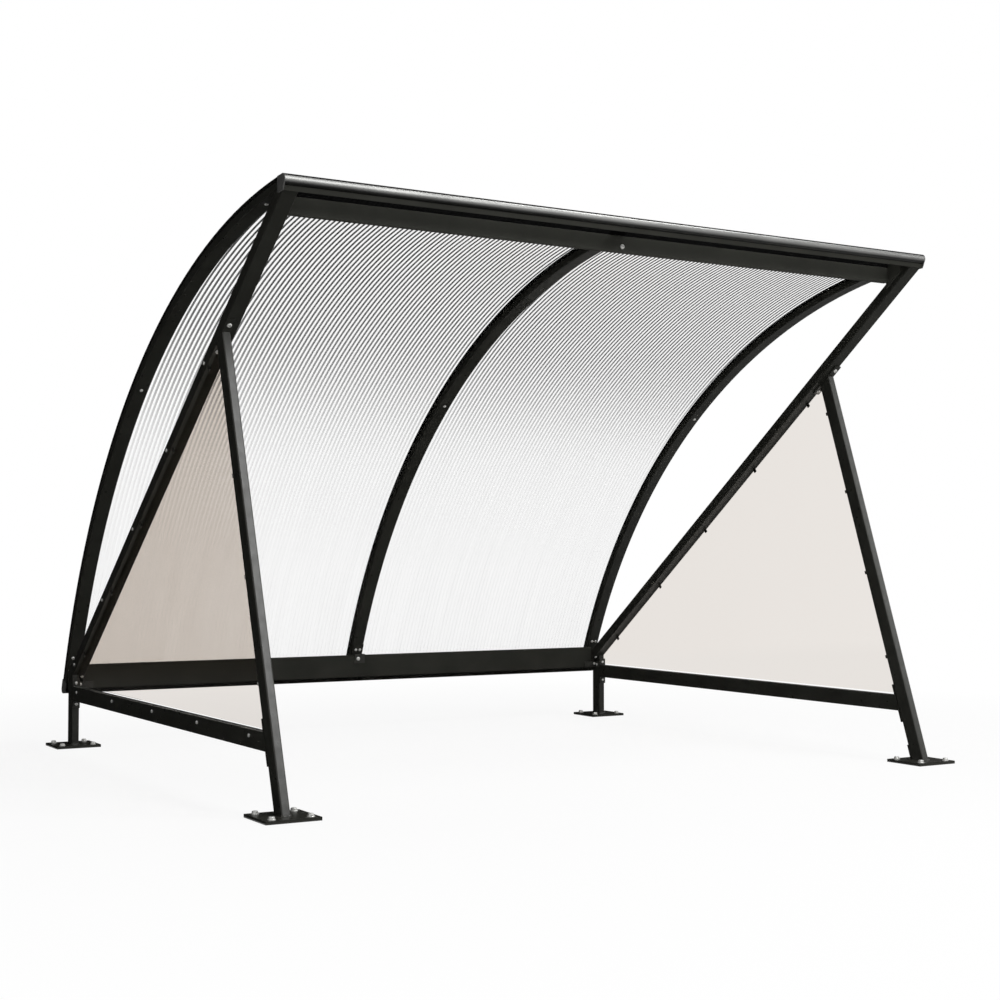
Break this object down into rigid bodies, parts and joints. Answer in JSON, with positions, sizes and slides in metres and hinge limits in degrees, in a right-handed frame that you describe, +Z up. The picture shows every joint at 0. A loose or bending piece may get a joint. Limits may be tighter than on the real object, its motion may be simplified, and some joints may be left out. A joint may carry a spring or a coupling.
{
  "type": "bike shelter",
  "caption": "Open-fronted bike shelter with a curved twin-wall roof on rolled tube arches, leaning front legs, clear triangular side panels and bolted foot plates",
  "frame": {"origin": "on the floor, in the middle of the footprint", "axes": "+X to the right seen from the open front, +Y to the back, +Z up"},
  "size_m": [3.097, 2.6338, 2.1496],
  "materials": {
    "frame_paint": "satin powder coat, near black",
    "profile_paint": "gloss powder coat, near black",
    "roof_sheet": "clear twin-wall sheet",
    "side_panel": "clear sheet with a light bronze tint",
    "seal": "matt black",
    "cap_plastic": "matt dark grey",
    "zinc_plate": "bright zinc plate"
  },
  "bodies": {
    "root": {"front_arch_bracket": "frame_paint", "front_beam": "frame_paint", "front_nose": "profile_paint", "front_seal": "seal", "left_arch": "frame_paint", "left_arch_gusset": "frame_paint", "left_corner_bracket": "frame_paint", "left_edge_strip": "profile_paint", "left_front_cap": "cap_plastic", "left_front_foot_plate": "frame_paint", "left_front_leg": "frame_paint", "left_panel_clips": "frame_paint", "left_rear_cap": "cap_plastic", "left_rear_foot_plate": "frame_paint", "left_rear_post": "frame_paint", "left_roof_sheet": "roof_sheet", "left_side_panel": "side_panel", "left_side_rail": "frame_paint", "left_strut": "frame_paint", "middle_arch": "frame_paint", "middle_clamp_strip": "profile_paint", "rear_arch_bracket": "frame_paint", "rear_nose": "profile_paint", "rear_rail": "frame_paint", "right_arch": "frame_paint", "right_arch_gusset": "frame_paint", "right_corner_bracket": "frame_paint", "right_edge_strip": "profile_paint", "right_front_cap": "cap_plastic", "right_front_foot_plate": "frame_paint", "right_front_leg": "frame_paint", "right_panel_clips": "frame_paint", "right_rear_cap": "cap_plastic", "right_rear_foot_plate": "frame_paint", "right_rear_post": "frame_paint", "right_roof_sheet": "roof_sheet", "right_side_panel": "side_panel", "right_side_rail": "frame_paint", "right_strut": "frame_paint"}
  },
  "joints": []
}
